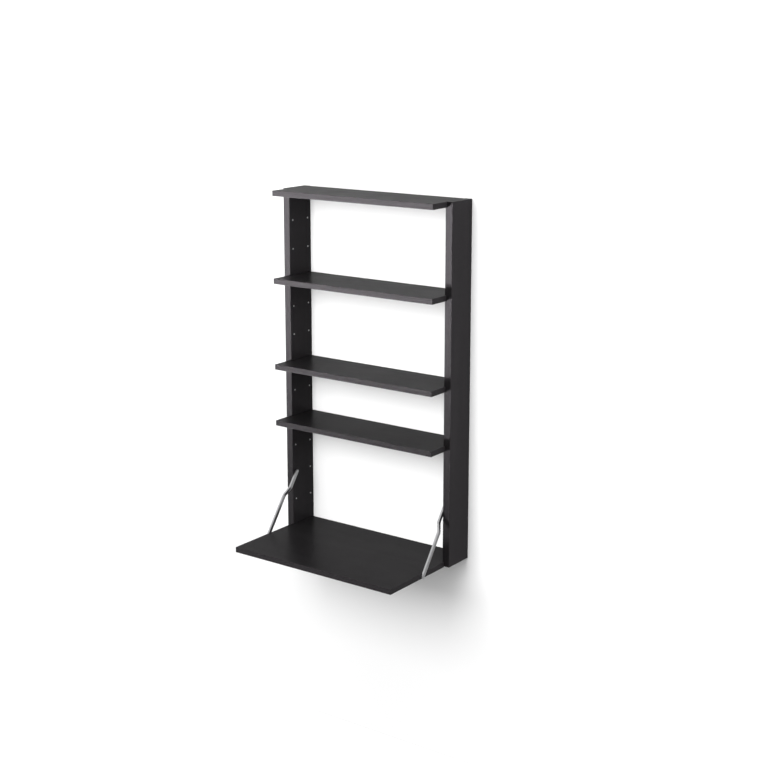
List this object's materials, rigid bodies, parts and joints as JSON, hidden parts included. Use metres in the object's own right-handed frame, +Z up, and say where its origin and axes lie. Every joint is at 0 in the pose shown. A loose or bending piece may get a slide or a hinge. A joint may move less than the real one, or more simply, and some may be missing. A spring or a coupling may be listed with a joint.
{
  "type": "wall shelf with desk",
  "caption": "Open wall-hung shelf unit in near-black stained wood: drilled uprights carry plain shelves and a deeper desk board that joggled flat steel stays hold up.",
  "frame": {"origin": "on the wall plane, midway between the round entries of the two keyhole hangers", "axes": "+X to the right along the wall as seen from the room, +Y into the wall, +Z up"},
  "size_m": [0.666, 0.4005, 1.17],
  "materials": {
    "stained_wood": "near-black stain under a thin satin lacquer, fine grain along each board",
    "dowel_wood": "plain beech, glued in",
    "bright_steel": "satin bright steel, brushed along its length",
    "zinc_steel": "bright zinc plating"
  },
  "bodies": {
    "frame": {"left_upright": "stained_wood", "right_upright": "stained_wood", "top_shelf": "stained_wood", "desk_top": "stained_wood", "top_shelf_dowels": "dowel_wood", "desk_top_dowels": "dowel_wood", "upper_shelf_pins": "zinc_steel", "middle_shelf_pins": "zinc_steel", "lower_shelf_pins": "zinc_steel", "left_hole_plugs": "bright_steel", "right_hole_plugs": "bright_steel", "left_stay": "bright_steel", "right_stay": "bright_steel", "left_stay_screws": "bright_steel", "right_stay_screws": "bright_steel", "left_stay_inserts": "zinc_steel", "right_stay_inserts": "zinc_steel", "left_hanger": "zinc_steel", "right_hanger": "zinc_steel", "left_hanger_screws": "zinc_steel", "right_hanger_screws": "zinc_steel"},
    "upper_shelf": {"upper_shelf": "stained_wood"},
    "middle_shelf": {"middle_shelf": "stained_wood"},
    "lower_shelf": {"lower_shelf": "stained_wood"}
  },
  "joints": [
    {"name": "upper_shelf_slide", "type": "slide", "parent": "frame", "child": "upper_shelf", "axis": [0, -1, 0], "range_m": [0, 0.11]},
    {"name": "middle_shelf_slide", "type": "slide", "parent": "frame", "child": "middle_shelf", "axis": [0, -1, 0], "range_m": [0, 0.11]},
    {"name": "lower_shelf_slide", "type": "slide", "parent": "frame", "child": "lower_shelf", "axis": [0, -1, 0], "range_m": [0, 0.11]}
  ]
}
